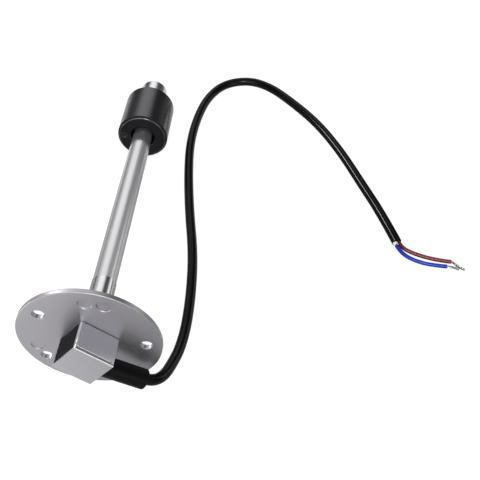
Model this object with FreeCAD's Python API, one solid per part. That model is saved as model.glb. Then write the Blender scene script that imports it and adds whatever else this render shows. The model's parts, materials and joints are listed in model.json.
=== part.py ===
import FreeCAD, Part
import math
import os
from FreeCAD import Placement, Rotation, Vector

# Fuel level sender: a bolt-on flange carries a stem with a reed switch ladder inside it and a magnet float
# around it, and a potted housing on its outer face lets a two-core lead out sideways.
# The sender is drawn about its own axis: z runs down the stem from the flange's outer face, and x points
# the way the lead leaves. It is then laid down as it rests on a level surface. Sizes are in millimetres.

# Flange
flange_d = 69.0
flange_t = 2.5
flange_edge = 0.4
bolt_pcd = 54.0
bolt_count = 5
bolt_hole_d = 6.0
dimple_d = 6.4
dimple_depth = 0.5
dimple_circle_d = 53.0
dimple_angle = 126.0

# Stem, collar and end stop
probe_length = 205.5
stem_d = 12.0
stem_wall = 1.0
collar_wall = 0.25
collar_length = 32.5
collar_edge = 0.1
collar_seat = 0.4
stop_wall = 2.3
stop_length = 17.0
stop_end_wall = 3.0
stop_edge = 0.8

# Float
float_d = 31.0
float_length = 33.7
float_clearance = 1.5
float_near_edge = 1.2
float_far_edge = 1.0
float_bore_edge = 0.5
gate_mark_d = 4.8
gate_mark_depth = 0.7
gate_mark_angle = 147.0
magnet_inner_cover = 1.5
magnet_outer_cover = 2.5
magnet_length = 9.0

# Terminal housing and its filling
housing_length = 20.5
housing_width = 21.0
housing_height = 15.0
housing_side = 1.6
housing_top = 1.0
housing_edge = 1.5
potting_recess = 0.3

# Cable sleeve
sleeve_d = 10.0
sleeve_reach = 22.0
sleeve_seat = 4.0
sleeve_cover = 0.5
sleeve_swing = -4.6
sleeve_end_gap = 2.6
sleeve_edge = 0.8
sleeve_root_edge = 0.4
sleeve_lead_bore_d = 7.4

# Switch ladder inside the stem
liner_wall = 0.4
board_t = 1.0
board_top = 6.0
board_end_gap = 3.0
reed_d = 2.0
reed_length = 9.0
reed_lead_d = 0.6
reed_lead_length = 2.2
reed_pitch = 16.5
reed_first = 18.0
chip_length = 3.2
chip_width = 1.6
chip_t = 0.6

# Lead
cable_d = 5.7
cable_grip = 4.5
cable_straight = 3.2
wire_d = 2.3
wire_spread = 1.2
strand_d = 1.3
lead_bend = 5.0
lead_tail = 6.0

# Clearances: close fits, the board's edges in the liner, the cut end of the sheath, and the float's end play
fit_gap = 0.02
board_gap = 0.08
cut_gap = 0.1
float_gap = 1.3

# How the sender lies: turned about its stem so that the lead points down to the surface
lead_roll = 40.0

# Route of the lead on the surface, from the first bend past the sleeve to the cut end
cable_height = cable_d / 2 + 0.05
cable_points = [
    (33.5, -100.0, 10.3),
    (36.3, -91.0, 6.9),
    (39.0, -80.5, 4.2),
    (40.7, -64.4, cable_height),
    (40.7, -41.4, cable_height),
    (38.9, -16.6, cable_height),
    (33.6, 14.2, cable_height),
    (29.6, 45.4, cable_height),
    (27.7, 72.9, cable_height),
    (29.9, 98.2, cable_height),
    (35.1, 119.4, cable_height),
    (45.3, 135.0, cable_height),
    (62.5, 140.3, cable_height),
    (77.8, 134.4, cable_height),
    (92.7, 119.9, cable_height),
    (111.4, 97.8, cable_height),
    (126.5, 70.9, cable_height),
    (139.1, 41.5, cable_height),
    (149.0, 19.0, cable_height),
    (156.5, -2.5, cable_height),
]

# Routes of the two cores past the cut end of the sheath, and of their bare strands
brown_points = [
    (159.0, -6.0, 2.75),
    (163.4, -8.4, 1.9),
    (170.2, -10.8, 1.35),
    (178.6, -12.9, 1.2),
    (186.7, -13.8, 1.2),
]
blue_points = [
    (156.7, -6.8, 2.8),
    (160.7, -11.6, 1.9),
    (168.0, -15.1, 1.35),
    (176.0, -16.8, 1.2),
    (183.9, -17.3, 1.2),
]
brown_strand_points = [
    (189.4, -14.3, 1.15),
    (191.8, -16.4, 0.9),
    (193.9, -18.7, 0.8),
]
blue_strand_points = [
    (186.4, -17.4, 1.15),
    (188.8, -17.9, 0.9),
    (190.8, -18.6, 0.8),
]

# Fitting sizes that follow from the stem and the float
collar_d = stem_d + 2 * collar_wall
stop_d = stem_d + 2 * stop_wall
float_bore_d = stem_d + 2 * float_clearance
magnet_bore_d = float_bore_d + 2 * magnet_inner_cover
magnet_d = float_d - 2 * magnet_outer_cover
gate_mark_circle_d = (float_d + float_bore_d) / 2

# Places along the stem axis that follow from the sizes above
tip_z = flange_t + probe_length
stop_z = tip_z - stop_length
stem_end_z = tip_z - stop_end_wall
float_far_z = stop_z - float_gap
float_near_z = float_far_z - float_length
board_end_z = stem_end_z - board_end_gap
stem_bore_d = stem_d - 2 * stem_wall
liner_d = stem_bore_d - 2 * fit_gap
liner_bore_d = liner_d - 2 * liner_wall

# Direction of the sleeve in the sender's own frame, and the points where it starts and ends
sleeve_height = housing_height - sleeve_cover - sleeve_d / 2
swing = math.radians(sleeve_swing)
tilt = math.asin((sleeve_height - sleeve_d / 2 - sleeve_end_gap) / sleeve_reach)
sleeve_dir = Vector(math.cos(swing) * math.cos(tilt), math.sin(swing), math.sin(tilt)).normalize()
sleeve_mouth = Vector(housing_length / 2, 0, -sleeve_height)
sleeve_end = sleeve_mouth + sleeve_dir * sleeve_reach
sleeve_root = sleeve_mouth - sleeve_dir * sleeve_seat
cable_start = sleeve_end - sleeve_dir * cable_grip


def rod(diameter, z0, z1, x=0.0, y=0.0):
    return Part.makeCylinder(diameter / 2, z1 - z0, Vector(x, y, z0))


def pipe(outer_d, inner_d, z0, z1):
    return rod(outer_d, z0, z1).cut(rod(inner_d, z0, z1))


def on_circle(circle_d, angle_deg):
    angle = math.radians(angle_deg)
    return circle_d / 2 * math.cos(angle), circle_d / 2 * math.sin(angle)


def revolved(outline):
    """A solid of revolution about z from (radius, z) corners."""
    corners = [Vector(radius, 0, z) for radius, z in outline]
    face = Part.Face(Part.makePolygon(corners + corners[:1]))
    return face.revolve(Vector(0, 0, 0), Vector(0, 0, 1), 360)


def circle_edges(shape, radius, z):
    """The round edges of a turned piece at one radius and height."""
    found = []
    for edge in shape.Edges:
        if not isinstance(edge.Curve, Part.Circle):
            continue
        if abs(edge.Curve.Radius - radius) < 1e-6 and abs(edge.Curve.Center.z - z) < 1e-6:
            found.append(edge)
    return found


def edges_along(shape, direction):
    """The straight edges of a shape that run along a direction."""
    found = []
    for edge in shape.Edges:
        if isinstance(edge.Curve, Part.Line) and abs(edge.Curve.Direction.dot(direction)) > 0.999:
            found.append(edge)
    return found


def route_wire(points, radii):
    """Straight runs joined by tangent arcs, with one arc radius for each inner point."""
    edges = []
    start = points[0]
    for before, corner, after, radius in zip(points, points[1:], points[2:], radii):
        way_in = (corner - before).normalize()
        way_out = (after - corner).normalize()
        half_turn = way_in.getAngle(way_out) / 2
        setback = radius * math.tan(half_turn)
        arc_start = corner - way_in * setback
        arc_end = corner + way_out * setback
        inward = (way_out - way_in).normalize()
        arc_middle = corner + inward * (radius / math.cos(half_turn) - radius)
        edges.append(Part.LineSegment(start, arc_start).toShape())
        edges.append(Part.Arc(arc_start, arc_middle, arc_end).toShape())
        start = arc_end
    edges.append(Part.LineSegment(start, points[-1]).toShape())
    return Part.Wire(edges)


def widest_radii(points):
    """The largest arc that the shorter of its two runs allows, at each inner point of a route."""
    radii = []
    for before, corner, after in zip(points, points[1:], points[2:]):
        run = min((corner - before).Length, (after - corner).Length)
        half_turn = (corner - before).getAngle(after - corner) / 2
        radii.append(0.45 * run / math.tan(half_turn))
    return radii


def round_tube(points, diameter, radii):
    """A round solid along a route."""
    path = route_wire(points, radii)
    section = Part.Wire(Part.Circle(points[0], points[1] - points[0], diameter / 2).toShape())
    return path.makePipeShell([section], True, False), path.Length


def laid_cord(name, points, diameter):
    """A free cord along hand-placed points; its radii, length and volume are printed for checking."""
    radii = widest_radii(points)
    solid, length = round_tube(points, diameter, radii)
    ideal = math.pi * diameter ** 2 / 4 * length
    print(name, "length", round(length, 1), "radii", [round(radius, 1) for radius in radii])
    print(name, "volume over section times length", round(solid.Volume / ideal, 4))
    return solid


def make_flange():
    """A stamped disc with its bolt circle, the stem's stepped hole and two shallow round marks."""
    radius = flange_d / 2
    inner = radius - flange_edge
    disc = revolved([
        (0, 0),
        (inner, 0),
        (radius, flange_edge),
        (radius, flange_t - flange_edge),
        (inner, flange_t),
        (0, flange_t),
    ])
    disc = disc.cut(rod(stem_d + 2 * fit_gap, 0, flange_t))
    disc = disc.cut(rod(collar_d + 2 * fit_gap, flange_t - collar_seat, flange_t))
    for index in range(bolt_count):
        x, y = on_circle(bolt_pcd, 180 + index * 360 / bolt_count)
        disc = disc.cut(rod(bolt_hole_d, 0, flange_t, x, y))
    for angle in (dimple_angle, -dimple_angle):
        x, y = on_circle(dimple_circle_d, angle)
        disc = disc.cut(rod(dimple_d, 0, dimple_depth, x, y))
    return disc


def make_stem_tube():
    return pipe(stem_d, stem_bore_d, 0, stem_end_z)


def make_stem_collar():
    """A thin sleeve, let into the flange, that stiffens the stem where it leaves it."""
    collar_end = flange_t + collar_length
    collar = pipe(collar_d, stem_d + 2 * fit_gap, flange_t - collar_seat, collar_end)
    return collar.makeChamfer(collar_edge, circle_edges(collar, collar_d / 2, collar_end))


def make_end_stop():
    """A closed cap on the stem's end, wider than the float's bore."""
    cap = rod(stop_d, stop_z, tip_z)
    cap = cap.cut(rod(stem_d + 2 * fit_gap, stop_z, stem_end_z))
    rims = circle_edges(cap, stop_d / 2, tip_z) + circle_edges(cap, stop_d / 2, stop_z)
    return cap.makeFillet(stop_edge, rims)


def make_terminal_housing():
    """A folded cover with rounded folds, open at both ends and towards the flange."""
    corner = Vector(-housing_length / 2, -housing_width / 2, -housing_height)
    block = Part.makeBox(housing_length, housing_width, housing_height, corner)
    uprights = edges_along(block, Vector(0, 0, 1))
    folds = []
    for edge in edges_along(block, Vector(1, 0, 0)):
        if edge.CenterOfMass.z < -housing_height / 2:
            folds.append(edge)
    block = block.makeFillet(housing_edge, uprights + folds)
    return block.cut(housing_channel(0)).cut(sleeve_room())


def housing_channel(recess):
    """The space under the cover, drawn back from its open ends."""
    length = housing_length - 2 * recess
    width = housing_width - 2 * housing_side
    height = housing_height - housing_top
    return Part.makeBox(length, width, height, Vector(-length / 2, -width / 2, -height))


def sleeve_room():
    """The round space that the sleeve's root fills in the cover and its filling."""
    return Part.makeCylinder(sleeve_d / 2 + fit_gap, sleeve_seat + sleeve_d, sleeve_root, sleeve_dir)


def make_potting_resin(leads):
    """The filling of the cover, cast round the sleeve's root and the two leads."""
    resin = housing_channel(potting_recess)
    resin = resin.cut(sleeve_room())
    for lead in leads:
        resin = resin.cut(lead)
    return resin


def make_cable_sleeve():
    """A straight soft sleeve, round at its mouth, that grips the sheath and is wider inside behind it."""
    length = sleeve_seat + sleeve_reach
    sleeve = Part.makeCylinder(sleeve_d / 2, length)
    sleeve = sleeve.makeFillet(sleeve_edge, circle_edges(sleeve, sleeve_d / 2, length))
    sleeve = sleeve.makeChamfer(sleeve_root_edge, circle_edges(sleeve, sleeve_d / 2, 0))
    sleeve = sleeve.cut(Part.makeCylinder(cable_d / 2 + fit_gap, length))
    sleeve = sleeve.cut(Part.makeCylinder(sleeve_lead_bore_d / 2, length - cable_grip))
    sleeve.Placement = Placement(sleeve_root, Rotation(Vector(0, 0, 1), sleeve_dir))
    return sleeve


def make_inner_lead(side):
    """One core from the sheath's end in the sleeve, round into the stem and down to the board."""
    across = Vector(0, 0, 1).cross(sleeve_dir).normalize()
    board_y = side * (board_t / 2 + wire_d / 2 + fit_gap)
    turn_z = sleeve_root.z
    points = [
        cable_start - sleeve_dir * cut_gap + across * (side * wire_spread),
        Vector(0, board_y, turn_z),
        Vector(0, board_y, board_top + lead_tail),
    ]
    return round_tube(points, wire_d, [lead_bend])[0]


def make_board_sleeve():
    return pipe(liner_d, liner_bore_d, board_top, board_end_z)


def make_circuit_board():
    """A narrow board whose long edges run along the liner's wall."""
    half_width = math.sqrt((liner_bore_d / 2) ** 2 - (board_t / 2) ** 2) - board_gap
    corner = Vector(-half_width, -board_t / 2, board_top)
    return Part.makeBox(2 * half_width, board_t, board_end_z - board_top, corner)


def reed_places():
    """Heights of the switches: as many as fit on the board at one pitch."""
    first = board_top + reed_first
    last = board_end_z - reed_length / 2 - reed_lead_length
    count = int((last - first) / reed_pitch) + 1
    return [first + index * reed_pitch for index in range(count)]


def make_reed_switches():
    """Glass capsules with a lead at each end, in a row on one face of the board."""
    radius = reed_d / 2
    shoulder = reed_length / 2 - radius
    pin = reed_lead_d / 2
    end = reed_length / 2 + reed_lead_length
    switch = revolved([
        (0, -end),
        (pin, -end),
        (pin, -reed_length / 2),
        (radius, -shoulder),
        (radius, shoulder),
        (pin, reed_length / 2),
        (pin, end),
        (0, end),
    ])
    seat_y = board_t / 2 + radius + fit_gap
    switches = []
    for z in reed_places():
        copy = switch.copy()
        copy.translate(Vector(0, seat_y, z))
        switches.append(copy)
    return Part.makeCompound(switches)


def make_resistors():
    """Chip resistors on the other face of the board, one between each pair of switches."""
    chips = []
    places = reed_places()
    for z0, z1 in zip(places, places[1:]):
        corner = Vector(-chip_width / 2, -board_t / 2 - chip_t, (z0 + z1 - chip_length) / 2)
        chips.append(Part.makeBox(chip_width, chip_t, chip_length, corner))
    return Part.makeCompound(chips)


def magnet_ring(gap):
    """The ring magnet at the middle of the float, or the space that it is moulded into."""
    middle = (float_near_z + float_far_z) / 2
    half = magnet_length / 2 + gap
    return pipe(magnet_d + 2 * gap, magnet_bore_d - 2 * gap, middle - half, middle + half)


def make_float_body():
    """A moulded ring with broken edges, a dished gate mark and the magnet's space inside."""
    outer = float_d / 2
    inner = float_bore_d / 2
    body = revolved([
        (inner + float_bore_edge, float_near_z),
        (outer - float_near_edge, float_near_z),
        (outer, float_near_z + float_near_edge),
        (outer, float_far_z),
        (inner + float_bore_edge, float_far_z),
        (inner, float_far_z - float_bore_edge),
        (inner, float_near_z + float_bore_edge),
    ])
    body = body.makeFillet(float_far_edge, circle_edges(body, outer, float_far_z))
    x, y = on_circle(gate_mark_circle_d, gate_mark_angle)
    dish_r = (gate_mark_d ** 2 / 4 + gate_mark_depth ** 2) / (2 * gate_mark_depth)
    dish_z = float_near_z + gate_mark_depth - dish_r
    body = body.cut(Part.makeSphere(dish_r, Vector(x, y, dish_z)))
    return body.cut(magnet_ring(fit_gap))


def lay_down(shapes):
    """The placement that rests the flange's rim and the float's far rim on the surface, over the origin."""
    rise = (flange_d / 2 - flange_edge) - (float_d / 2 - float_far_edge)
    run = (float_far_z - float_far_edge) - flange_t
    slope = math.atan2(rise, run) - math.asin(float_far_edge / math.hypot(rise, run))
    roll = math.radians(lead_roll)
    along = Vector(0, math.cos(slope), -math.sin(slope))
    up = Vector(0, math.sin(slope), math.cos(slope))
    lead_way = Vector(math.cos(roll), 0, 0) - up * math.sin(roll)
    turn = Rotation(lead_way, along.cross(lead_way), along, "ZXY")
    turned = []
    for shape in shapes:
        copy = shape.copy()
        copy.Placement = Placement(Vector(0, 0, 0), turn).multiply(shape.Placement)
        turned.append(copy)
    box = Part.makeCompound(turned).optimalBoundingBox(False, False)
    base = Vector(-box.Center.x, -box.Center.y, -box.ZMin)
    print("stem slope in degrees", round(math.degrees(slope), 3), "base", base)
    return Placement(base, turn)


def make_sender():
    """Every rigid piece in the sender's own frame."""
    brown = make_inner_lead(1)
    blue = make_inner_lead(-1)
    return {
        "flange": make_flange(),
        "terminal_housing": make_terminal_housing(),
        "potting_resin": make_potting_resin([brown, blue]),
        "cable_sleeve": make_cable_sleeve(),
        "stem_tube": make_stem_tube(),
        "stem_collar": make_stem_collar(),
        "end_stop": make_end_stop(),
        "board_sleeve": make_board_sleeve(),
        "circuit_board": make_circuit_board(),
        "reed_switches": make_reed_switches(),
        "resistors": make_resistors(),
        "inner_lead_brown": brown,
        "inner_lead_blue": blue,
        "float_body": make_float_body(),
        "float_magnet": magnet_ring(0),
    }


def past_end(points):
    """A point just past the cut end of a route."""
    return points[-1] + (points[-1] - points[-2]).normalize() * cut_gap


def make_lead(placement):
    """The free lead on the surface: sheath, two cores and their bare ends."""
    first_bend = sleeve_end + sleeve_dir * cable_straight
    sheath = [placement.multVec(cable_start), placement.multVec(first_bend)]
    sheath += [Vector(*point) for point in cable_points]
    across = Vector(0, 0, 1).cross(sheath[-1] - sheath[-2]).normalize()
    core_start = past_end(sheath)
    brown = [core_start + across * wire_spread] + [Vector(*point) for point in brown_points]
    blue = [core_start - across * wire_spread] + [Vector(*point) for point in blue_points]
    brown_strands = [past_end(brown)] + [Vector(*point) for point in brown_strand_points]
    blue_strands = [past_end(blue)] + [Vector(*point) for point in blue_strand_points]
    for point in (sheath[0], sheath[1], brown[0], blue[0]):
        print("route start", round(point.x, 2), round(point.y, 2), round(point.z, 2))
    return {
        "cable_sheath": laid_cord("cable_sheath", sheath, cable_d),
        "brown_wire": laid_cord("brown_wire", brown, wire_d),
        "blue_wire": laid_cord("blue_wire", blue, wire_d),
        "brown_strands": laid_cord("brown_strands", brown_strands, strand_d),
        "blue_strands": laid_cord("blue_strands", blue_strands, strand_d),
    }


def main():
    os.makedirs("parts", exist_ok=True)
    sender = make_sender()
    placement = lay_down(sender.values())
    nodes = {}
    for name, shape in sender.items():
        shape.Placement = placement.multiply(shape.Placement)
        nodes[name] = shape
    nodes.update(make_lead(placement))
    for name, shape in nodes.items():
        shape.exportStep("parts/" + name + ".step")


main()
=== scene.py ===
import json
import math
import bmesh
import bpy
from mathutils import Matrix, Vector


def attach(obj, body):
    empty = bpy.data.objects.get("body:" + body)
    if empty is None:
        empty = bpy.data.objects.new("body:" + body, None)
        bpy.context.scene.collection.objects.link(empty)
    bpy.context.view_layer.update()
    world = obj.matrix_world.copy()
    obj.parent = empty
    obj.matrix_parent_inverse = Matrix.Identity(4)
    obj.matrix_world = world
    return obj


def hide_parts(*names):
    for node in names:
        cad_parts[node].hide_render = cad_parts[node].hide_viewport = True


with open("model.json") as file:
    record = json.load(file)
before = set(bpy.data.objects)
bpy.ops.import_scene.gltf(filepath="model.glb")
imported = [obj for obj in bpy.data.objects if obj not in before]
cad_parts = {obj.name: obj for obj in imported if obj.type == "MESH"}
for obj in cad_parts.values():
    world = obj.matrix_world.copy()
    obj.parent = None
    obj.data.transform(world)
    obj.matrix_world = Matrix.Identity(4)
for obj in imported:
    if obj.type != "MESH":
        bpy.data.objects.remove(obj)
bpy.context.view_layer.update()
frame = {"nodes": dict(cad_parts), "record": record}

# Sizes in millimetres. They follow the part's source, and finer ones are added. The sender is drawn about its
# own axis: z runs down the stem from the flange's outer face and x points the way the lead leaves.
MM = 0.001
FIT_GAP = 0.02
FLANGE_D = 69.0
FLANGE_T = 2.5
FLANGE_EDGE = 0.4
BOLT_PCD = 54.0
BOLT_COUNT = 5
BOLT_HOLE_D = 6.0
BOLT_HOLE_EDGE = 0.2
DIMPLE_D = 6.4
DIMPLE_DEPTH = 0.5
DIMPLE_EDGE = 0.3
DIMPLE_CIRCLE_D = 53.0
DIMPLE_ANGLE = 126.0
BLANK_HOLE = 1
BLANK_DEPTH = 0.5
BLANK_HOLE_EDGE = 0.5
BLANK_FACE_EDGE = 0.1
BLANK_BACK_EDGE = 0.2
STEM_D = 12.0
STEM_WALL = 1.0
STEM_END = 205.0
STEM_EDGE = 0.1
COLLAR_D = 12.5
COLLAR_TOP = 2.1
COLLAR_END = 35.0
COLLAR_EDGE = 0.1
COLLAR_INNER_EDGE = 0.05
STOP_D = 16.6
STOP_START = 191.0
STOP_END = 208.0
STOP_EDGE = 0.8
STOP_MOUTH_EDGE = 0.2
FLOAT_D = 31.0
FLOAT_BORE_D = 15.0
FLOAT_NEAR = 156.0
FLOAT_FAR = 189.7
FLOAT_NEAR_EDGE = 1.2
FLOAT_FAR_EDGE = 1.0
FLOAT_BORE_EDGE = 0.5
FLOAT_FACE_ROUND = 0.7
FLOAT_SIDE_ROUND = 0.4
FLOAT_BORE_ROUND = 0.2
FLOAT_RIM_DEPTH = 2.0
GATE_MARK_D = 4.8
GATE_MARK_DEPTH = 0.7
GATE_MARK_CIRCLE_D = 23.0
GATE_MARK_ANGLE = 147.0
HOUSING_LENGTH = 20.5
HOUSING_WIDTH = 21.0
HOUSING_HEIGHT = 14.92
HOUSING_SIDE = 1.6
HOUSING_TOP = 0.92
HOUSING_FOLD = 1.1
HOUSING_CHAMFER = 0.5
HOUSING_FOOT_GAP = 0.3
SEAM_WIDTH = 0.4
SEAM_DEPTH = 0.6
SEAM_EDGE = 0.35
SEAM_CORNER = 2.4
SEAM_TURN = 62.0
SEAM_TAIL = 2.0
SLEEVE_D = 10.0
SLEEVE_BORE_D = 5.74
SLEEVE_LEAD_BORE_D = 7.4
SLEEVE_SEAT = 4.0
SLEEVE_REACH = 22.0
SLEEVE_HEIGHT = 9.5
SLEEVE_SWING = -4.6
SLEEVE_END_GAP = 2.6
SLEEVE_EDGE = 0.8
SLEEVE_ROOT_EDGE = 0.4
SLEEVE_MOUTH_EDGE = 0.4
SLEEVE_BORE_EDGE = 0.2
CABLE_D = 5.7
CABLE_GRIP = 4.5
CABLE_FLOOR_GAP = 0.05
WIRE_D = 2.3
STRAND_BUNDLE_D = 1.3
STRANDS_ROUND = 6
FILLER_LENGTH = 2.0
FILLER_WALL = 0.18

# The filler's torn end and its folds: height in millimetres, waves in one turn, and where they start or how
# far they turn from one loop to the next
FILLER_TEARS = [(0.35, 3, 1.0), (0.25, 7, 0.0)]
FILLER_FOLDS = (0.06, 5, 0.9)

# How far the lead's side is rolled down about the stem, in degrees
LEAD_ROLL = 40.0

# The fineness of round forms, the straight stretch that gives the first and the last edge round of an open
# profile its direction, how far a cutter stands out of what it cuts, and the least radius at a turned end
SEGMENTS = 96
RIM_SEGMENTS = 256
HOLE_SEGMENTS = 64
TURNED_SEGMENTS = 128
FLOAT_SEGMENTS = 160
MARK_SEGMENTS = 48
MARK_STEPS = 10
SEAM_STEPS = 6
STRAND_SIDES = 8
FILLER_SIDES = 24
RUN_OUT = 2.0
CUT_OVER = 1.0
TIP_R = 0.01

# How much of a face's normal points one way tells the finishes apart: on the float along the stem, and on the
# housing along both x and y at a broken corner, or along any one axis on a plain face; the housing's broken
# corners and its rounds are painted lighter, as highlights
FLOAT_FLAT = 0.999
FLOAT_BROKEN = 0.73
FLOAT_FACE = 0.8
FLOAT_RIM = 0.12
HOUSING_BROKEN = 0.5
HOUSING_PLAIN = 0.99

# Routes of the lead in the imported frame, in millimetres, as in the part's source
CABLE_HEIGHT = CABLE_D / 2 + CABLE_FLOOR_GAP
CABLE_POINTS = [
    (22.07, -105.33, 18.73),
    (28.32, -105.11, 14.24),
    (33.5, -100.0, 10.3),
    (36.3, -91.0, 6.9),
    (39.0, -80.5, 4.2),
    (40.7, -64.4, CABLE_HEIGHT),
    (40.7, -41.4, CABLE_HEIGHT),
    (38.9, -16.6, CABLE_HEIGHT),
    (33.6, 14.2, CABLE_HEIGHT),
    (29.6, 45.4, CABLE_HEIGHT),
    (27.7, 72.9, CABLE_HEIGHT),
    (29.9, 98.2, CABLE_HEIGHT),
    (35.1, 119.4, CABLE_HEIGHT),
    (45.3, 135.0, CABLE_HEIGHT),
    (62.5, 140.3, CABLE_HEIGHT),
    (77.8, 134.4, CABLE_HEIGHT),
    (92.7, 119.9, CABLE_HEIGHT),
    (111.4, 97.8, CABLE_HEIGHT),
    (126.5, 70.9, CABLE_HEIGHT),
    (139.1, 41.5, CABLE_HEIGHT),
    (149.0, 19.0, CABLE_HEIGHT),
    (156.5, -2.5, CABLE_HEIGHT),
]
BROWN_POINTS = [
    (157.67, -2.2, 2.9),
    (159.0, -6.0, 2.75),
    (163.4, -8.4, 1.9),
    (170.2, -10.8, 1.35),
    (178.6, -12.9, 1.2),
    (186.7, -13.8, 1.2),
]
BLUE_POINTS = [
    (155.4, -2.99, 2.9),
    (156.7, -6.8, 2.8),
    (160.7, -11.6, 1.9),
    (168.0, -15.1, 1.35),
    (176.0, -16.8, 1.2),
    (183.9, -17.3, 1.2),
]
BROWN_STRAND_POINTS = [
    (186.8, -13.81, 1.2),
    (188.4, -14.4, 1.15),
    (190.0, -16.7, 1.0),
    (193.9, -18.7, 0.8),
]
BLUE_STRAND_POINTS = [
    (184.0, -17.31, 1.2),
    (186.4, -17.4, 1.15),
    (188.8, -17.9, 0.9),
    (190.8, -18.6, 0.8),
]

# Studio: the level between the bright fields, and each field's direction, outer and inner angle, and level
STUDIO_DIM = 0.10
STUDIO_FIELDS = [
    ((-0.10, 0.80, 0.59), 28, 5, 1.4),
    ((-0.62, 0.56, 0.55), 26, 5, 0.55),
    ((0.88, 0.47, 0.08), 24, 6, 1.7),
    ((0.1, -0.1, 1.0), 40, 10, 0.5),
    ((-0.15, -0.82, 0.5), 36, 8, 2.5),
    ((0.58, -0.76, 0.28), 22, 8, 1.7),
    ((0.80, -0.45, 0.42), 30, 10, 0.42),
]

# Lamps: name, place and aim in metres, size, and the brightness of their surface
LAMPS = [
    ("lead_lamp", (-0.82, 0.44, 0.71), (0.135, 0.05, 0.0), (0.20, 0.20), 46.0),
    ("arch_lamp", (0.20, -0.67, 0.95), (0.075, 0.135, 0.0), (0.22, 0.22), 26.0),
]

# Floor: half its size in metres, its colour, and the share and the level of the white that the eye sees
FLOOR_HALF = 3.0
FLOOR_COLOR = (0.85, 0.85, 0.85, 1)
FLOOR_WHITE_SHARE = 0.82
FLOOR_WHITE = 1.13

# What the floor shows in a mirroring surface, where shade and light are painted on it: its share, the share
# and the level where it is painted dark, and bands, each with a way over the floor, a stretch in metres along
# it, and the levels at the stretch's two ends. BEHIND, BY_LEAD and the STEM bands are painted shadow behind
# the sender, beside the lead and beside the stem; FRONT_SHADE and FRONT_GLOW are painted shade and a painted
# glow in front
MIRRORED_SHARE = 0.5
MIRRORED_DARK_SHARE = 0.95
MIRRORED_DARK = 0.12
FRONT_SHADE = ((-0.8, 0.6, 0), -0.100, -0.035, 0.22, 0.85)
FRONT_GLOW = ((-0.8, -0.6, 0), 0.16, 0.36, 0.0, 6.0)
BEHIND = ((0, 1, 0), 0.12, 0.29, 0.0, 1.0)
BY_LEAD = ((0.9, 0.43, 0), 0.10, 0.14, 0.0, 1.0)
STEM_LEFT = ((-1, 0, 0), 0.004, 0.016, 0.0, 0.75)
STEM_RIGHT = ((1, 0, 0), 0.004, 0.010, 0.0, 0.75)
STEM_RIGHT_FADE = ((1, 0, 0), 0.028, 0.040, 1.0, 0.0)
STEM_NEAR_FADE = ((0, 1, 0), -0.075, -0.055, 0.0, 1.0)
STEM_FAR_FADE = ((0, 1, 0), 0.045, 0.075, 1.0, 0.0)

# Camera of the photograph: place in millimetres, direction, and focal length and picture size in pixels
CAMERA_PLACE = (80.2, -253.8, 312.8)
CAMERA_FORWARD = (-0.0373, 0.6235, -0.7809)
CAMERA_FOCAL_PX = 680.5
IMAGE_PX = 480

# The sender's own frame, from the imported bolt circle
bolts = next(mount for mount in frame["record"]["mounts"] if mount["name"] == "flange_bolts")
stem_axis = Vector(bolts["axis"]).normalized()
flange_middle = Vector(bolts["pos_m"])
roll = math.radians(LEAD_ROLL)
up_across = Vector((1, 0, 0)).cross(stem_axis)
lead_way = Vector((1, 0, 0)) * math.cos(roll) - up_across * math.sin(roll)
own_y = stem_axis.cross(lead_way)
face_centre = flange_middle - stem_axis * (FLANGE_T / 2 * MM)
sender = Matrix.Translation(face_centre) @ Matrix((lead_way, own_y, stem_axis)).transposed().to_4x4()


# Materials

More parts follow.
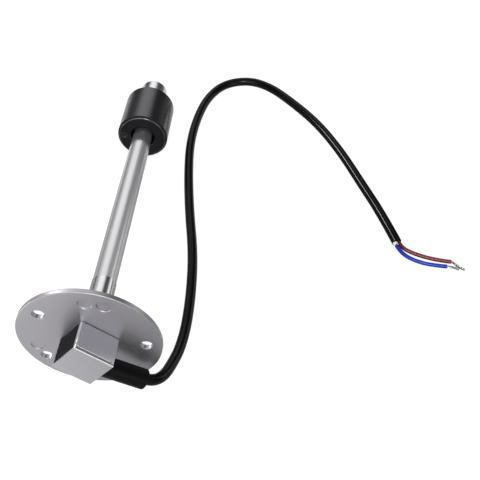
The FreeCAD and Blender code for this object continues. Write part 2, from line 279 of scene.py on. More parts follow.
class Shader:
    """A Principled material and the few node chains that every finish here is made of.

    Its patterns lie in the sender's own frame, whichever way the sender is laid."""

    def __init__(self, name, color, roughness, metallic=0.0):
        self.material = bpy.data.materials.new(name)
        self.material.use_nodes = True
        self.tree = self.material.node_tree
        self.bsdf = self.tree.nodes["Principled BSDF"]
        self.bsdf.inputs["Base Color"].default_value = (*color, 1)
        self.bsdf.inputs["Roughness"].default_value = roughness
        self.bsdf.inputs["Metallic"].default_value = metallic
        self.color = color
        self.normal = None
        own = self.tree.nodes.new("ShaderNodeMapping")
        own.vector_type = "TEXTURE"
        own.inputs["Location"].default_value = sender.to_translation()
        own.inputs["Rotation"].default_value = sender.to_euler()
        self.link(self.tree.nodes.new("ShaderNodeTexCoord").outputs["Object"], own.inputs["Vector"])
        self.place = own.outputs["Vector"]

    def link(self, out_socket, in_socket):
        self.tree.links.new(out_socket, in_socket)

    def noise(self, scale, detail, stretch=(1, 1, 1)):
        """Noise with features of about 1 / scale metres, stretched along the piece's own axes."""
        mapping = self.tree.nodes.new("ShaderNodeMapping")
        mapping.inputs["Scale"].default_value = [scale / part for part in stretch]
        noise = self.tree.nodes.new("ShaderNodeTexNoise")
        noise.inputs["Scale"].default_value = 1.0
        noise.inputs["Detail"].default_value = detail
        noise.inputs["Roughness"].default_value = 0.55
        self.link(self.place, mapping.inputs["Vector"])
        self.link(mapping.outputs["Vector"], noise.inputs["Vector"])
        return noise.outputs["Fac"]

    def spread(self, fac, low, high, start=0.3, end=0.7):
        """Noise values from start to end mapped to a range."""
        node = self.tree.nodes.new("ShaderNodeMapRange")
        node.inputs["From Min"].default_value = start
        node.inputs["From Max"].default_value = end
        node.inputs["To Min"].default_value = low
        node.inputs["To Max"].default_value = high
        self.link(fac, node.inputs["Value"])
        return node.outputs["Result"]

    def vary_roughness(self, fac, low, high):
        self.link(self.spread(fac, low, high), self.bsdf.inputs["Roughness"])

    def vary_color(self, fac, other, start=0.35, end=0.65):
        """The base colour drifts towards another one."""
        mix = self.tree.nodes.new("ShaderNodeMix")
        mix.data_type = "RGBA"
        mix.inputs["A"].default_value = (*self.color, 1)
        mix.inputs["B"].default_value = (*other, 1)
        self.link(self.spread(fac, 0, 1, start, end), mix.inputs["Factor"])
        self.link(mix.outputs["Result"], self.bsdf.inputs["Base Color"])

    def spread_round(self, amount):
        """Highlights spread round the stem's axis, as on a drawn or turned surface."""
        self.bsdf.inputs["Anisotropic"].default_value = amount
        split = self.tree.nodes.new("ShaderNodeSeparateXYZ")
        flip = self.tree.nodes.new("ShaderNodeMath")
        flip.operation = "MULTIPLY"
        flip.inputs[1].default_value = -1.0
        join = self.tree.nodes.new("ShaderNodeCombineXYZ")
        turn = self.tree.nodes.new("ShaderNodeMapping")
        turn.vector_type = "VECTOR"
        turn.inputs["Rotation"].default_value = sender.to_euler()
        self.link(self.place, split.inputs["Vector"])
        self.link(split.outputs["Y"], flip.inputs[0])
        self.link(flip.outputs["Value"], join.inputs["X"])
        self.link(split.outputs["X"], join.inputs["Y"])
        self.link(join.outputs["Vector"], turn.inputs["Vector"])
        self.link(turn.outputs["Vector"], self.bsdf.inputs["Tangent"])

    def bump(self, fac, depth_mm, strength=1.0):
        """Fine relief; several calls add up."""
        node = self.tree.nodes.new("ShaderNodeBump")
        node.inputs["Strength"].default_value = strength
        node.inputs["Distance"].default_value = depth_mm * MM
        self.link(fac, node.inputs["Height"])
        if self.normal is not None:
            self.link(self.normal, node.inputs["Normal"])
        self.normal = node.outputs["Normal"]
        self.link(self.normal, self.bsdf.inputs["Normal"])


def satin_steel(name, color, roughness, blast_mm=0.002, wave_mm=0.01, clouding=0.04):
    """Sheet steel with a fine even blast and faint clouding."""
    shader = Shader(name, color, roughness, 1.0)
    shader.vary_color(shader.noise(1100, 4), [part * (1 - clouding) for part in color])
    shader.vary_roughness(shader.noise(260, 5), roughness - 0.75 * clouding, roughness + 0.75 * clouding)
    shader.bump(shader.noise(5200, 2), blast_mm, 0.6)
    shader.bump(shader.noise(120, 2), wave_mm, 0.25)
    return shader.material


def drawn_steel(name, color, roughness, stretch, round_spread=0.0, metallic=1.0, polish=0.0):
    """Polished steel or tinned wire, with faint drawing lines along its stretch."""
    shader = Shader(name, color, roughness, metallic)
    shader.bsdf.inputs["Coat Weight"].default_value = polish
    shader.bsdf.inputs["Coat Roughness"].default_value = 0.04
    shader.bsdf.inputs["Coat IOR"].default_value = 2.2
    if round_spread > 0:
        shader.spread_round(round_spread)
    lines = shader.noise(2500, 3, stretch)
    shader.vary_color(lines, [part * 0.94 for part in color])
    shader.vary_roughness(shader.noise(300, 4, stretch), roughness - 0.02, roughness + 0.03)
    shader.bump(lines, 0.0015, 0.6)
    return shader.material


def soft_black(name, color, roughness, grain_mm, depth_mm, dust, gloss, polish=0.0):
    """Rubber or plastic in black, with a moulded grain and a little dust in it."""
    shader = Shader(name, color, roughness)
    shader.bsdf.inputs["Specular IOR Level"].default_value = gloss
    shader.bsdf.inputs["Specular Tint"].default_value = (0.96, 0.94, 1.0, 1)
    shader.bsdf.inputs["Coat Weight"].default_value = polish
    shader.bsdf.inputs["Coat Roughness"].default_value = 0.1
    shader.bsdf.inputs["Coat IOR"].default_value = 1.9
    shader.vary_color(shader.noise(150, 5), dust, 0.4, 0.8)
    shader.vary_roughness(shader.noise(700, 4), roughness * 0.92, roughness * 1.1)
    shader.bump(shader.noise(1000 / grain_mm, 3), depth_mm, 0.7)
    return shader.material


def insulation(name, color, roughness, shine):
    """Coloured wire insulation with a slightly uneven extruded skin."""
    shader = Shader(name, color, roughness)
    shader.vary_color(shader.noise(500, 3), [part * 0.75 for part in color])
    shader.vary_roughness(shader.noise(900, 3), roughness - 0.06, roughness + 0.08)
    shader.bump(shader.noise(800, 2), 0.015, 0.5)
    shader.bsdf.inputs["Specular IOR Level"].default_value = 1.0
    shader.bsdf.inputs["Specular Tint"].default_value = (*shine, 1)
    return shader.material


def plain_part(name, color, roughness, metallic=0.0, grain=2500, depth_mm=0.004):
    """Inner pieces: an even colour broken up by a fine grain."""
    shader = Shader(name, color, roughness, metallic)
    shader.vary_color(shader.noise(400, 4), [part * 0.85 for part in color])
    shader.vary_roughness(shader.noise(900, 3), roughness - 0.05, roughness + 0.05)
    shader.bump(shader.noise(grain, 2), depth_mm, 0.5)
    return shader.material


flange_steel = satin_steel("flange_steel", (0.414, 0.405, 0.434), 0.42)
housing_steel = satin_steel("housing_steel", (0.565, 0.558, 0.592), 0.28,
                            blast_mm=0.0002, wave_mm=0.005, clouding=0.015)
# A lighter colour for the housing's fold rounds than for its sheet: a painted highlight
housing_fold_highlight = satin_steel("housing_fold_highlight", (0.70, 0.695, 0.71), 0.13,
                           blast_mm=0.0002, wave_mm=0.002, clouding=0.015)
# A near-white colour for the housing's broken uprights: a painted highlight along its upright edges
housing_edge_highlight = satin_steel("housing_edge_highlight", (0.93, 0.925, 0.94), 0.45, blast_mm=0.001, wave_mm=0.005)
stem_steel = drawn_steel("stem_steel", (0.585, 0.583, 0.603), 0.30, stretch=(1, 1, 60),
                         round_spread=1.0, metallic=0.87, polish=1.0)
collar_steel = drawn_steel("collar_steel", (0.62, 0.62, 0.63), 0.18, stretch=(1, 1, 40), round_spread=0.5)
stop_steel = drawn_steel("stop_steel", (0.62, 0.62, 0.63), 0.18, stretch=(40, 40, 1), round_spread=0.5)
float_gloss = soft_black("float_gloss", (0.004, 0.004, 0.0045), 0.25, grain_mm=0.2, depth_mm=0.0006,
                         dust=(0.005, 0.005, 0.0055), gloss=0.9)
float_edge = soft_black("float_edge", (0.004, 0.004, 0.0045), 0.14, grain_mm=0.2, depth_mm=0.0004,
                        dust=(0.006, 0.006, 0.0065), gloss=1.0, polish=0.4)
float_mark = soft_black("float_mark", (0.003, 0.003, 0.0035), 0.34, grain_mm=0.2, depth_mm=0.0006,
                        dust=(0.004, 0.004, 0.0045), gloss=0.4)
float_matt = soft_black("float_matt", (0.004, 0.0035, 0.0045), 0.55, grain_mm=0.35, depth_mm=0.006,
                        dust=(0.006, 0.005, 0.007), gloss=0.2)
resin_black = soft_black("resin_black", (0.004, 0.0035, 0.005), 0.5, grain_mm=1.2, depth_mm=0.02,
                         dust=(0.006, 0.005, 0.007), gloss=0.06)
sleeve_rubber = soft_black("sleeve_rubber", (0.002, 0.002, 0.0022), 0.40, grain_mm=0.4, depth_mm=0.004,
                           dust=(0.003, 0.003, 0.003), gloss=0.1)
cable_pvc = soft_black("cable_pvc", (0.002, 0.002, 0.0022), 0.17, grain_mm=0.8, depth_mm=0.0002,
                       dust=(0.003, 0.003, 0.003), gloss=0.15)
brown_skin = insulation("brown_skin", (0.11, 0.009, 0.015), 0.3, shine=(1.0, 0.45, 0.45))
blue_skin = insulation("blue_skin", (0.003, 0.022, 0.40), 0.3, shine=(0.35, 0.5, 1.0))
tinned_wire = drawn_steel("tinned_wire", (0.50, 0.49, 0.48), 0.20, stretch=(8, 1, 1))
filler_fibre = plain_part("filler_fibre", (0.72, 0.74, 0.78), 0.7)
liner_plastic = plain_part("liner_plastic", (0.78, 0.77, 0.72), 0.5)
board_green = plain_part("board_green", (0.02, 0.16, 0.05), 0.4, grain=1500, depth_mm=0.02)
reed_glass = plain_part("reed_glass", (0.5, 0.62, 0.54), 0.12)
chip_black = plain_part("chip_black", (0.02, 0.02, 0.02), 0.5)
magnet_ferrite = plain_part("magnet_ferrite", (0.05, 0.05, 0.055), 0.55, metallic=0.3)


# Mesh building, in the sender's own frame

def ring(bm, radius, z, centre, count):
    """A closed loop of vertices round an axis along z."""
    loop = []
    for index in range(count):
        angle = 2 * math.pi * index / count
        x = centre[0] + radius * math.cos(angle)
        y = centre[1] + radius * math.sin(angle)
        loop.append(bm.verts.new((x * MM, y * MM, z * MM)))
    return loop


def skin(bm, first, second):
    """A band of quads between two loops of the same count."""
    for index in range(len(first)):
        after = (index + 1) % len(first)
        bm.faces.new((first[index], first[after], second[after], second[index]))


def band(bm, profile, centre=(0.0, 0.0), count=SEGMENTS, closed=False):
    """Loops at each (radius, z) of a profile, skinned in turn; returns the loops."""
    loops = [ring(bm, radius, z, centre, count) for radius, z in profile]
    for first, second in zip(loops, loops[1:]):
        skin(bm, first, second)
    if closed:
        skin(bm, loops[-1], loops[0])
    return loops


def flat_fill(bm, loops):
    """A flat face bounded by loops: the first is its outline and the others are holes in it."""
    edges = []
    for loop in loops:
        for index in range(len(loop)):
            pair = (loop[index], loop[(index + 1) % len(loop)])
            edges.append(bm.edges.get(pair) or bm.edges.new(pair))
    bmesh.ops.triangle_fill(bm, use_beauty=True, use_dissolve=False, edges=edges)


def rounded(corners, steps=5):
    """A profile from (radius, z, edge round) corners, each rounded by an arc."""
    profile = []
    count = len(corners)
    for index, (r, z, edge) in enumerate(corners):
        here = Vector((r, z))
        before = Vector(corners[index - 1][:2])
        after = Vector(corners[(index + 1) % count][:2])
        if edge <= 0:
            profile.append((r, z))
            continue
        way_in = (before - here).normalized()
        way_out = (after - here).normalized()
        half = way_in.angle(way_out) / 2
        setback = edge / math.tan(half)
        middle = here + (way_in + way_out).normalized() * (edge / math.sin(half))
        start = here + way_in * setback - middle
        end = here + way_out * setback - middle
        for step in range(steps + 1):
            part = start.slerp(end, step / steps) * edge
            profile.append((middle.x + part.x, middle.y + part.y))
    return profile


def edges_of(corners):
    """The edge rounds of an open profile, without the two points that only give them their direction."""
    return rounded(corners)[1:-1]


def on_circle(circle_d, angle_deg):
    """The place at an angle on a circle round the stem's axis."""
    angle = math.radians(angle_deg)
    return circle_d / 2 * math.cos(angle), circle_d / 2 * math.sin(angle)


def finish_piece(name, bm, material, node, body, matrix=sender, sharp_deg=40.0, more_materials=()):
    """Turns a mesh under construction into a piece that stands for a CAD node."""
    bmesh.ops.recalc_face_normals(bm, faces=bm.faces)
    bm.transform(matrix)
    mesh = bpy.data.meshes.new(name)
    bm.to_mesh(mesh)
    bm.free()
    mesh.shade_smooth()
    mesh.set_sharp_from_angle(angle=math.radians(sharp_deg))
    mesh.materials.append(material)
    for other in more_materials:
        mesh.materials.append(other)
    piece = bpy.data.objects.new(name, mesh)
    bpy.context.scene.collection.objects.link(piece)
    weighted = piece.modifiers.new("even_normals", "WEIGHTED_NORMAL")
    weighted.keep_sharp = True
    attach(piece, body)
    if node:
        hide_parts(node)
    return piece


def turned_piece(name, corners, material, node, matrix=sender):
    """A closed turned form from rounded (radius, z, edge round) corners."""
    bm = bmesh.new()
    band(bm, rounded(corners), count=TURNED_SEGMENTS, closed=True)
    return finish_piece(name, bm, material, node, "sender", matrix)


def bolt_place(index):
    """The middle of one of the bolt holes."""
    return on_circle(BOLT_PCD, 180 + index * 360 / BOLT_COUNT)


def make_flange():
    """The disc with rounded rims, its holes and two shallow marks."""
    bm = bmesh.new()
    radius = FLANGE_D / 2
    rim = band(bm, edges_of([
        (radius - RUN_OUT, 0, 0),
        (radius, 0, FLANGE_EDGE),
        (radius, FLANGE_T, FLANGE_EDGE),
        (radius - RUN_OUT, FLANGE_T, 0),
    ]), count=RIM_SEGMENTS)
    stem_hole = band(bm, [
        (STEM_D / 2 + FIT_GAP, 0),
        (STEM_D / 2 + FIT_GAP, COLLAR_TOP),
        (COLLAR_D / 2 + FIT_GAP, COLLAR_TOP),
        (COLLAR_D / 2 + FIT_GAP, FLANGE_T),
    ])
    front = [rim[0], stem_hole[0]]
    back = [rim[-1], stem_hole[-1]]
    hole_r = BOLT_HOLE_D / 2
    for index in range(BOLT_COUNT):
        wall = band(bm, edges_of([
            (hole_r + RUN_OUT, 0, 0),
            (hole_r, 0, BLANK_HOLE_EDGE if index == BLANK_HOLE else BOLT_HOLE_EDGE),
            (hole_r, FLANGE_T, BOLT_HOLE_EDGE),
            (hole_r + RUN_OUT, FLANGE_T, 0),
        ]), bolt_place(index), HOLE_SEGMENTS)
        front.append(wall[0])
        back.append(wall[-1])
    mark_r = DIMPLE_D / 2
    for angle in (DIMPLE_ANGLE, -DIMPLE_ANGLE):
        wall = band(bm, edges_of([
            (mark_r + RUN_OUT, 0, 0),
            (mark_r, 0, DIMPLE_EDGE),
            (mark_r, DIMPLE_DEPTH, DIMPLE_EDGE),
            (mark_r - RUN_OUT, DIMPLE_DEPTH, 0),
        ]), on_circle(DIMPLE_CIRCLE_D, angle), HOLE_SEGMENTS)
        front.append(wall[0])
        flat_fill(bm, [wall[-1]])
    flat_fill(bm, front)
    flat_fill(bm, back)
    return finish_piece("flange_disc", bm, flange_steel, "flange", "sender")


def make_blank():
    """A steel disc that closes one of the flange's holes, a little below its outer face."""
    bm = bmesh.new()
    radius = BOLT_HOLE_D / 2 - FIT_GAP
    loops = band(bm, edges_of([
        (radius - RUN_OUT, BLANK_DEPTH, 0),
        (radius, BLANK_DEPTH, BLANK_FACE_EDGE),
        (radius, FLANGE_T, BLANK_BACK_EDGE),
        (radius - RUN_OUT, FLANGE_T, 0),
    ]), bolt_place(BLANK_HOLE), HOLE_SEGMENTS)
    flat_fill(bm, [loops[0]])
    flat_fill(bm, [loops[-1]])
    return finish_piece("hole_blank", bm, flange_steel, None, "sender")


def make_float():
    """The moulded float with broken edges and a gate mark on its upper face."""
    bm = bmesh.new()
    outer = FLOAT_D / 2
    inner = FLOAT_BORE_D / 2
    loops = band(bm, rounded([
        (outer - FLOAT_NEAR_EDGE, FLOAT_NEAR, FLOAT_FACE_ROUND),
        (outer, FLOAT_NEAR + FLOAT_NEAR_EDGE, FLOAT_SIDE_ROUND),
        (outer, FLOAT_FAR, FLOAT_FAR_EDGE),
        (inner + FLOAT_BORE_EDGE, FLOAT_FAR, FLOAT_BORE_ROUND),
        (inner, FLOAT_FAR - FLOAT_BORE_EDGE, FLOAT_BORE_ROUND),
        (inner, FLOAT_NEAR + FLOAT_BORE_EDGE, FLOAT_BORE_ROUND),
        (inner + FLOAT_BORE_EDGE, FLOAT_NEAR, FLOAT_BORE_ROUND),
    ]), count=FLOAT_SEGMENTS)
    place = on_circle(GATE_MARK_CIRCLE_D, GATE_MARK_ANGLE)
    mark_r = GATE_MARK_D / 2
    ball_r = (mark_r ** 2 + GATE_MARK_DEPTH ** 2) / (2 * GATE_MARK_DEPTH)
    dish = []
    for step in range(MARK_STEPS):
        r = mark_r * (1 - step / MARK_STEPS)
        dish.append((r, FLOAT_NEAR + GATE_MARK_DEPTH - ball_r + math.sqrt(ball_r ** 2 - r ** 2)))
    dish = band(bm, dish, place, MARK_SEGMENTS)
    flat_fill(bm, [dish[-1]])
    flat_fill(bm, [loops[0], loops[-1], dish[0]])
    bm.normal_update()
    gloss, matt, edge, mark = range(4)
    for face in bm.faces:
        slope = abs(face.normal.z)
        middle = face.calc_center_median() / MM
        on_near = middle.z < FLOAT_NEAR + FLOAT_RIM_DEPTH
        on_rim = on_near and math.hypot(middle.x, middle.y) > outer - FLOAT_NEAR_EDGE - FLOAT_RIM_DEPTH / 2
        in_mark = on_near and math.hypot(middle.x - place[0], middle.y - place[1]) < mark_r
        if in_mark and middle.z > FLOAT_NEAR:
            face.material_index = mark
        elif on_rim and FLOAT_BROKEN < slope < FLOAT_FLAT:
            face.material_index = edge
        elif slope > FLOAT_FACE or (on_rim and slope > FLOAT_RIM):
            face.material_index = matt
        else:
            face.material_index = gloss
    return finish_piece("float_moulding", bm, float_gloss, "float_body", "float",
                        more_materials=(float_matt, float_edge, float_mark))


def box_mesh(bm, low, high):
    """A box between two corners, in millimetres."""
    made = bmesh.ops.create_cube(bm, size=1.0)["verts"]
    for vert in made:
        for axis in range(3):
            vert.co[axis] = (low[axis] if vert.co[axis] < 0 else high[axis]) * MM


def scratch_object(name, bm):
    """An object for a cut, which isn't kept."""
    mesh = bpy.data.meshes.new(name)
    bm.to_mesh(mesh)
    bm.free()
    made = bpy.data.objects.new(name, mesh)
    bpy.context.scene.collection.objects.link(made)
    return made


def seam_cutter(side):
    """The groove between a side and the top: straight, and turned away from the fold at its ends."""
    foot = HOUSING_FOLD + SEAM_WIDTH / 2 - HOUSING_HEIGHT
    bend = HOUSING_LENGTH / 2 - SEAM_CORNER
    path = []
    for step in range(SEAM_STEPS + 1):
        turn = math.radians(SEAM_TURN) * step / SEAM_STEPS
        way = Vector((math.cos(turn), math.sin(turn)))
        here = Vector((bend + SEAM_CORNER * way.y, foot + SEAM_CORNER * (1 - way.x)))
        path.append((here, way))
    path.append((here + way * SEAM_TAIL, way))
    start = [(Vector((-here.x, here.y)), Vector((way.x, -way.y))) for here, way in reversed(path)]
    half = SEAM_WIDTH / 2
    profile = [(-half, -CUT_OVER), (-half, SEAM_DEPTH), (half, SEAM_DEPTH)]
    for step in range(SEAM_STEPS + 1):
        turn = math.radians(90 * step / SEAM_STEPS)
        profile.append((half + SEAM_EDGE * (1 - math.cos(turn)), SEAM_EDGE * (1 - math.sin(turn))))
    profile.append((half + SEAM_EDGE, -CUT_OVER))
    bm = bmesh.new()
    loops = []
    for here, way in start + path:
        loop = []
        for across, depth in profile:
            spot = here + Vector((-way.y, way.x)) * across
            loop.append(bm.verts.new((spot.x * MM, side * (HOUSING_WIDTH / 2 - depth) * MM, spot.y * MM)))
        loops.append(loop)
    for first, second in zip(loops, loops[1:]):
        skin(bm, first, second)
    flat_fill(bm, [loops[0]])
    flat_fill(bm, [loops[-1]])
    bmesh.ops.recalc_face_normals(bm, faces=bm.faces)
    return scratch_object("cover_seam", bm)


def is_along(edge, axis):
    """Whether an edge runs along x (0), y (1) or z (2)."""
    way = edge.verts[1].co - edge.verts[0].co
    return abs(way[axis]) > 0.9 * way.length


def folded_block():
    """The housing's outer form, with broken uprights and rounded folds."""
    half_l = HOUSING_LENGTH / 2
    half_w = HOUSING_WIDTH / 2
    block = bmesh.new()
    box_mesh(block, (-half_l, -half_w, -HOUSING_HEIGHT), (half_l, half_w, -HOUSING_FOOT_GAP))
    uprights = [edge for edge in block.edges if is_along(edge, 2)]
    bmesh.ops.bevel(block, geom=uprights, offset=HOUSING_CHAMFER * MM, segments=1, affect="EDGES")
    folds = []
    for edge in block.edges:
        on_top = edge.verts[0].co.z < -0.5 * HOUSING_HEIGHT * MM
        if on_top and is_along(edge, 0) and edge.calc_length() > half_l * MM:
            folds.append(edge)
    bmesh.ops.bevel(block, geom=folds, offset=HOUSING_FOLD * MM, segments=8, profile=0.4, affect="EDGES")
    return scratch_object("cover_block", block)


def channel_cutter():
    """The housing's inside, open below and at both ends."""
    half_l = HOUSING_LENGTH / 2 + 2 * CUT_OVER
    half_w = HOUSING_WIDTH / 2 - HOUSING_SIDE
    channel = bmesh.new()
    box_mesh(channel, (-half_l, -half_w, HOUSING_TOP - HOUSING_HEIGHT), (half_l, half_w, 2 * CUT_OVER))
    return scratch_object("cover_channel", channel)


def seat_cutter(sleeve_matrix):
    """The place that the sleeve takes."""
    radius = (SLEEVE_D / 2 + FIT_GAP) * MM
    depth = (SLEEVE_SEAT + SLEEVE_D) * MM
    seat = bmesh.new()
    bmesh.ops.create_cone(seat, cap_ends=True, segments=SEGMENTS, radius1=radius, radius2=radius, depth=depth)
    seat = scratch_object("cover_seat", seat)
    seat.matrix_world = sender.inverted() @ sleeve_matrix @ Matrix.Translation((0, 0, depth / 2))
    return seat


def make_housing(sleeve_matrix):
    """The folded cover: broken uprights, and a seam along each fold; open below and at both ends."""
    cover = folded_block()
    cutters = [channel_cutter(), seat_cutter(sleeve_matrix), seam_cutter(-1), seam_cutter(1)]
    for cutter in cutters:
        cut = cover.modifiers.new(cutter.name, "BOOLEAN")
        cut.operation = "DIFFERENCE"
        cut.solver = "EXACT"
        cut.object = cutter
    bpy.context.view_layer.update()
    depsgraph = bpy.context.evaluated_depsgraph_get()
    mesh = bpy.data.meshes.new_from_object(cover.evaluated_get(depsgraph))
    for scratch in [cover] + cutters:
        bpy.data.objects.remove(scratch)
    bm = bmesh.new()
    bm.from_mesh(mesh)
    bpy.data.meshes.remove(mesh)
    bm.normal_update()
    # The broken uprights and the rounded faces of the folds and seams get lighter colours than the plain
    # sheet: painted highlights
    plain, fold, edge_highlight = range(3)
    for face in bm.faces:
        if min(abs(face.normal.x), abs(face.normal.y)) > HOUSING_BROKEN:
            face.material_index = edge_highlight
        elif max(abs(part) for part in face.normal) < HOUSING_PLAIN:
            face.material_index = fold
        else:
            face.material_index = plain
    return finish_piece("housing_cover", bm, housing_steel, "terminal_housing", "sender",
                        sharp_deg=30.0, more_materials=(housing_fold_highlight, housing_edge_highlight))


# The sleeve's axis, and the pieces that are turned about it or the stem's axis
swing = math.radians(SLEEVE_SWING)
tilt = math.asin((SLEEVE_HEIGHT - SLEEVE_D / 2 - SLEEVE_END_GAP) / SLEEVE_REACH)
sleeve_dir = Vector((math.cos(swing) * math.cos(tilt), math.sin(swing), math.sin(tilt))).normalized()
sleeve_root = Vector((HOUSING_LENGTH / 2, 0, -SLEEVE_HEIGHT)) - sleeve_dir * SLEEVE_SEAT
sleeve_turn = sleeve_dir.to_track_quat("Z", "Y").to_matrix().to_4x4()
sleeve_matrix = sender @ Matrix.Translation(sleeve_root * MM) @ sleeve_turn
sleeve_length = SLEEVE_SEAT + SLEEVE_REACH

make_flange()
make_blank()
make_housing(sleeve_matrix)
make_float()
turned_piece("stem_pipe", [
    (STEM_D / 2, 0, STEM_EDGE),
    (STEM_D / 2, STEM_END, STEM_EDGE),
    (STEM_D / 2 - STEM_WALL, STEM_END, STEM_EDGE),
    (STEM_D / 2 - STEM_WALL, 0, STEM_EDGE),
], stem_steel, "stem_tube")
turned_piece("collar_ring", [
    (COLLAR_D / 2, COLLAR_TOP, 0),
    (COLLAR_D / 2, COLLAR_END, COLLAR_EDGE),
    (STEM_D / 2 + FIT_GAP, COLLAR_END, COLLAR_INNER_EDGE),
    (STEM_D / 2 + FIT_GAP, COLLAR_TOP, 0),
], collar_steel, "stem_collar")
turned_piece("stop_cap", [
    (STOP_D / 2, STOP_START, STOP_EDGE),
    (STOP_D / 2, STOP_END, STOP_EDGE),
    (TIP_R, STOP_END, 0),
    (TIP_R, STEM_END, 0),
    (STEM_D / 2 + FIT_GAP, STEM_END, 0),
    (STEM_D / 2 + FIT_GAP, STOP_START, STOP_MOUTH_EDGE),
], stop_steel, "end_stop")
turned_piece("sleeve_boot", [
    (SLEEVE_D / 2, 0, SLEEVE_ROOT_EDGE),
    (SLEEVE_D / 2, sleeve_length, SLEEVE_EDGE),
    (SLEEVE_BORE_D / 2, sleeve_length, SLEEVE_MOUTH_EDGE),
    (SLEEVE_BORE_D / 2, sleeve_length - CABLE_GRIP, 0),
    (SLEEVE_LEAD_BORE_D / 2, sleeve_length - CABLE_GRIP, 0),
    (SLEEVE_LEAD_BORE_D / 2, 0, SLEEVE_BORE_EDGE),
], sleeve_rubber, "cable_sleeve", sleeve_matrix)


# Lead

def route_curve(name, points, diameter):
    """A smooth line with the route's points as its control points."""
    curve = bpy.data.curves.new(name, "CURVE")
    curve.dimensions = "3D"
    curve.resolution_u = 16
    curve.bevel_depth = diameter / 2 * MM
    curve.bevel_resolution = 8
    curve.use_fill_caps = diameter > 0
    spline = curve.splines.new("NURBS")
    spline.points.add(len(points) - 1)
    for target, point in zip(spline.points, points):
        target.co = (*(part * MM for part in point), 1)
    spline.order_u = 3
    spline.use_endpoint_u = True
    piece = bpy.data.objects.new(name, curve)
    bpy.context.scene.collection.objects.link(piece)
    return piece


def route_line(points):
    """Points along a route's smooth line."""
    piece = route_curve("line", points, 0)
    depsgraph = bpy.context.evaluated_depsgraph_get()
    mesh = bpy.data.meshes.new_from_object(piece.evaluated_get(depsgraph))
    line = [vert.co.copy() for vert in mesh.vertices]
    bpy.data.meshes.remove(mesh)
    bpy.data.objects.remove(piece)
    return line


def lay_cord(name, points, diameter, material, node):
    """The sheath or a core along its route."""
    piece = route_curve(name, points, diameter)
    piece.data.materials.append(material)
    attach(piece, "sender")
    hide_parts(node)
    return piece


def turns_of(count):
    """Evenly spaced angles of one turn."""
    return [index / count * 2 * math.pi for index in range(count)]


def along_line(line):
    """Each point of a line, with its share of the way, the line's direction, and the two ways across it."""
    for index, here in enumerate(line):
        way = (line[min(index + 1, len(line) - 1)] - line[max(index - 1, 0)]).normalized()
        across = way.cross(Vector((0, 0, 1))).normalized()
        yield here, index / (len(line) - 1), way, across, across.cross(way)


def make_strands(name, points, node, turns, splay):
    """A twisted bunch of fine wires, three across, that opens a little towards its end."""
    line = route_line(points)
    bm = bmesh.new()
    strand_r = STRAND_BUNDLE_D / 6 * MM
    places = [(2 * strand_r, angle) for angle in turns_of(STRANDS_ROUND)] + [(0.0, 0.0)]
    for middle_r, first_angle in places:
        loops = []
        for here, share, _, across, over in along_line(line):
            out = middle_r * (1 + splay * share ** 3)
            angle = first_angle + turns * 2 * math.pi * share
            centre = here + across * (out * math.cos(angle)) + over * (out * math.sin(angle))
            loop = []
            for around in turns_of(STRAND_SIDES):
                offset = across * math.cos(around) + over * math.sin(around)
                loop.append(bm.verts.new(centre + offset * strand_r))
            loops.append(loop)
        for first, second in zip(loops, loops[1:]):
            skin(bm, first, second)
        bm.faces.new(loops[0])
        bm.faces.new(loops[-1])
    return finish_piece(name, bm, tinned_wire, node, "sender", Matrix.Identity(4),
                        sharp_deg=50.0)


def make_filler():
    """A torn wrap of pale filler that stands out of the sheath round the start of the blue core."""
    line = route_line(BLUE_POINTS)
    start = line[0]
    line = [here for here in line if (here - start).length < FILLER_LENGTH * MM]
    bm = bmesh.new()
    loops = []
    fold_height, folds, fold_turn = FILLER_FOLDS
    for here, share, way, across, over in along_line(line):
        loop = []
        for around in turns_of(FILLER_SIDES):
            torn = sum(height * math.sin(waves * around + start) for height, waves, start in FILLER_TEARS)
            fold = fold_height * math.sin(folds * around + fold_turn * len(loops))
            offset = across * math.cos(around) + over * math.sin(around)
            out = WIRE_D / 2 + FILLER_WALL + fold
            loop.append(bm.verts.new(here + (offset * out + way * (torn * share)) * MM))
        loops.append(loop)
    for first, second in zip(loops, loops[1:]):
        skin(bm, first, second)
    inner = []
    for vert in loops[-1]:
        inward = (line[-1] - vert.co).normalized()
        inner.append(bm.verts.new(vert.co + inward * 2 * FILLER_WALL * MM))
    skin(bm, loops[-1], inner)
    return finish_piece("sheath_filler", bm, filler_fibre, None, "sender", Matrix.Identity(4))


cable = lay_cord("cable_line", CABLE_POINTS, CABLE_D, cable_pvc, "cable_sheath")
brown = lay_cord("brown_core", BROWN_POINTS, WIRE_D, brown_skin, "brown_wire")
blue = lay_cord("blue_core", BLUE_POINTS, WIRE_D, blue_skin, "blue_wire")
brown_ends = make_strands("brown_bare_end", BROWN_STRAND_POINTS, "brown_strands", turns=1.2, splay=0.25)
blue_ends = make_strands("blue_bare_end", BLUE_STRAND_POINTS, "blue_strands", turns=1.0, splay=0.2)
filler = make_filler()

# The resin and the inner pieces keep the form that the frame gives them
for node, material in {
    "potting_resin": resin_black,
    "board_sleeve": liner_plastic,
    "circuit_board": board_green,
    "reed_switches": reed_glass,
    "resistors": chip_black,
    "inner_lead_brown": brown_skin,
    "inner_lead_blue": blue_skin,
    "float_magnet": magnet_ferrite,
}.items():
    slots = frame["nodes"][node].data.materials
    slots.clear()
    slots.append(material)


# Stage

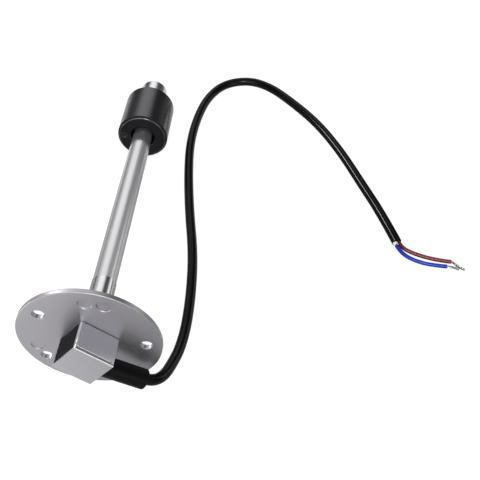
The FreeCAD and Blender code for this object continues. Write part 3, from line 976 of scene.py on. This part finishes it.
class StageNodes:
    """Short ways to make and link the nodes of the floor's or the world's shader."""

    def __init__(self, tree, output):
        tree.nodes.clear()
        self.tree = tree
        self.surface = self.node(output).inputs["Surface"]
        self.path = self.node("LightPath").outputs

    def node(self, kind):
        return self.tree.nodes.new("ShaderNode" + kind)

    def feed(self, socket, value):
        """Sets a socket to a value, or links it to another socket."""
        if isinstance(value, bpy.types.NodeSocket):
            self.tree.links.new(value, socket)
        else:
            socket.default_value = value

    def combine(self, operation, first, second):
        node = self.node("Math")
        node.operation = operation
        self.feed(node.inputs[0], first)
        self.feed(node.inputs[1], second)
        return node.outputs["Value"]

    def toward(self, place, way):
        """How far a place lies along a direction."""
        node = self.node("VectorMath")
        node.operation = "DOT_PRODUCT"
        self.feed(node.inputs[0], place)
        self.feed(node.inputs[1], way)
        return node.outputs["Value"]

    def ramp(self, value, start, end, low, high, shape="LINEAR"):
        """A level that runs from low to high while a value runs from start to end."""
        node = self.node("MapRange")
        node.interpolation_type = shape
        given = {"Value": value, "From Min": start, "From Max": end, "To Min": low, "To Max": high}
        for name, part in given.items():
            self.feed(node.inputs[name], part)
        return node.outputs["Result"]

    def seen(self):
        """1 for what the camera sees, also through glass, and 0 for light and mirrors."""
        return self.combine("MAXIMUM", self.path["Is Camera Ray"], self.path["Is Transmission Ray"])

    def shine(self, kind, strength):
        """White light of a given strength."""
        node = self.node(kind)
        node.inputs["Color"].default_value = (1, 1, 1, 1)
        self.feed(node.inputs["Strength"], strength)
        return node.outputs[0]

    def blend(self, share, first, second):
        node = self.node("MixShader")
        self.feed(node.inputs["Fac"], share)
        self.feed(node.inputs[1], first)
        self.feed(node.inputs[2], second)
        return node.outputs["Shader"]


def floor_material():
    """A white table: plain under the lamps, paper white to the eye, and with painted shadow bands and a
    painted glow in what mirrors it.
    """
    material = bpy.data.materials.new("floor_white")
    material.use_nodes = True
    nodes = StageNodes(material.node_tree, "OutputMaterial")
    spot = nodes.node("TexCoord").outputs["Object"]

    def along(way, start, end, low, high):
        """A level that runs from low to high over a stretch of the floor."""
        return nodes.ramp(nodes.toward(spot, way), start, end, low, high)

    diffuse = nodes.node("BsdfDiffuse")
    diffuse.inputs["Color"].default_value = FLOOR_COLOR
    # Painted shadow bands beside the stem, seen only in what mirrors the floor
    right = nodes.combine("MULTIPLY", along(*STEM_RIGHT), along(*STEM_RIGHT_FADE))
    by_stem = nodes.combine("MAXIMUM", along(*STEM_LEFT), right)
    by_stem = nodes.combine("MULTIPLY", by_stem, along(*STEM_NEAR_FADE))
    by_stem = nodes.combine("MULTIPLY", by_stem, along(*STEM_FAR_FADE))
    # Painted shadow behind the sender and beside the lead as well
    dark = nodes.combine("MAXIMUM", along(*BEHIND), along(*BY_LEAD))
    dark = nodes.combine("MAXIMUM", dark, by_stem)
    # Painted shade and a painted glow on the floor in front of the flange, for what mirrors it
    in_front = nodes.combine("ADD", along(*FRONT_SHADE), along(*FRONT_GLOW))
    mirrored = nodes.shine("Emission", nodes.ramp(dark, 0.0, 1.0, in_front, MIRRORED_DARK))
    mirrored_share = nodes.ramp(dark, 0.0, 1.0, MIRRORED_SHARE, MIRRORED_DARK_SHARE)
    mirrored_share = nodes.combine("MULTIPLY", nodes.path["Is Glossy Ray"], mirrored_share)
    white_share = nodes.combine("MULTIPLY", nodes.seen(), FLOOR_WHITE_SHARE)
    to_eye = nodes.blend(white_share, diffuse.outputs["BSDF"], nodes.shine("Emission", FLOOR_WHITE))
    nodes.feed(nodes.surface, nodes.blend(mirrored_share, to_eye, mirrored))
    return material


def make_floor():
    """The flat table that the sender lies on."""
    mesh = bpy.data.meshes.new("floor")
    half = FLOOR_HALF
    corners = [(-half, -half, 0), (half, -half, 0), (half, half, 0), (-half, half, 0)]
    mesh.from_pydata(corners, [], [(0, 1, 2, 3)])
    mesh.materials.append(floor_material())
    floor = bpy.data.objects.new("floor", mesh)
    bpy.context.scene.collection.objects.link(floor)


def make_world():
    """White to the eye, and to everything else a dim studio with soft bright fields."""
    world = bpy.data.worlds.new("studio")
    world.use_nodes = True
    bpy.context.scene.world = world
    nodes = StageNodes(world.node_tree, "OutputWorld")
    sky = nodes.node("TexCoord").outputs["Generated"]
    level = STUDIO_DIM
    for way, outer, inner, strength in STUDIO_FIELDS:
        edge = math.cos(math.radians(outer))
        core = math.cos(math.radians(inner))
        nearness = nodes.toward(sky, Vector(way).normalized())
        field = nodes.ramp(nearness, edge, core, 0.0, strength, "SMOOTHSTEP")
        level = nodes.combine("ADD", field, level)
    studio = nodes.shine("Background", level)
    nodes.feed(nodes.surface, nodes.blend(nodes.seen(), studio, nodes.shine("Background", 1.0)))


def soft_lamp(name, place, aim, size, level):
    """A rectangular soft lamp of a given surface brightness."""
    lamp = bpy.data.lights.new(name, "AREA")
    lamp.shape = "RECTANGLE"
    lamp.size = size[0]
    lamp.size_y = size[1]
    lamp.energy = level * math.pi * size[0] * size[1]
    made = bpy.data.objects.new(name, lamp)
    bpy.context.scene.collection.objects.link(made)
    made.location = place
    made.rotation_euler = (Vector(aim) - Vector(place)).to_track_quat("-Z", "Y").to_euler()


def make_camera():
    """The camera where the photograph was taken from."""
    lens = bpy.data.cameras.new("camera")
    lens.sensor_width = 36.0
    lens.sensor_fit = "HORIZONTAL"
    lens.lens = lens.sensor_width * CAMERA_FOCAL_PX / IMAGE_PX
    lens.clip_start = 0.01
    camera = bpy.data.objects.new("camera", lens)
    bpy.context.scene.collection.objects.link(camera)
    camera.location = Vector(CAMERA_PLACE) * MM
    camera.rotation_euler = Vector(CAMERA_FORWARD).to_track_quat("-Z", "Y").to_euler()
    bpy.context.scene.camera = camera


make_floor()
make_world()
for lamp in LAMPS:
    soft_lamp(*lamp)
make_camera()
bpy.context.scene.view_settings.view_transform = "Standard"
